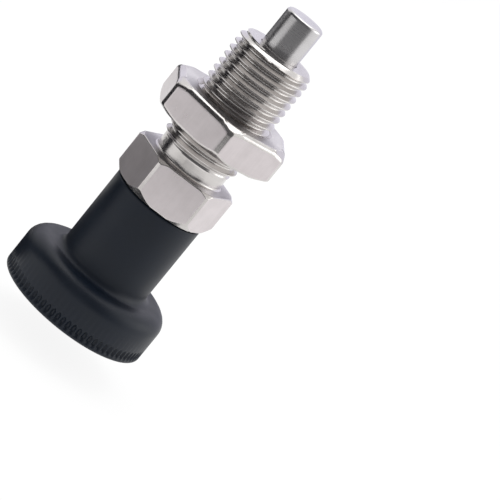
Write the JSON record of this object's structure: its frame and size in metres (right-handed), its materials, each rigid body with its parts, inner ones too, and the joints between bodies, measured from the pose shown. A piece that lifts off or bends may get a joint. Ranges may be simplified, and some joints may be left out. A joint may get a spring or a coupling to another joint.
{
  "type": "indexing plunger with pull knob and lock nut",
  "caption": "Spring loaded locking pin in a screwed hexagon guide, with a black pull knob behind and a thin hexagon lock nut on the thread.",
  "frame": {"origin": "centre of the hexagon collar's front face, which seats on the panel", "axes": "+Z along the locking pin, towards its nose; -Y square to a flat of the hexagon collar"},
  "size_m": [0.0196, 0.0196, 0.0443],
  "materials": {
    "guide_steel": "turned and milled stainless steel, lightly brushed",
    "bush_steel": "turned steel",
    "pin_steel": "ground bright steel",
    "spring_steel": "drawn spring wire",
    "knob_plastic": "black moulded plastic with a fine matte skin",
    "insert_brass": "turned brass",
    "nut_steel": "bright stainless steel"
  },
  "bodies": {
    "guide": {"guide_body": "guide_steel", "guide_bush": "bush_steel"},
    "nut": {"lock_nut": "nut_steel"},
    "spring": {"compression_spring": "spring_steel"},
    "plunger": {"locking_pin": "pin_steel", "knob_insert": "insert_brass", "knob": "knob_plastic"}
  },
  "joints": [
    {"name": "knob_turn", "type": "hinge", "parent": "guide", "child": "spring", "pos_m": [0, 0, 0], "axis": [0, 0, 1], "continuous": true},
    {"name": "plunger_pull", "type": "slide", "parent": "spring", "child": "plunger", "axis": [0, 0, -1], "range_m": [0, 0.005], "stiffness_N_per_m": 1200, "springref_m": -0.005, "deforming": ["compression_spring"]},
    {"name": "lock_nut_travel", "type": "slide", "parent": "guide", "child": "nut", "axis": [0, 0, 1], "range_m": [-0.002, 0.007]}
  ]
}
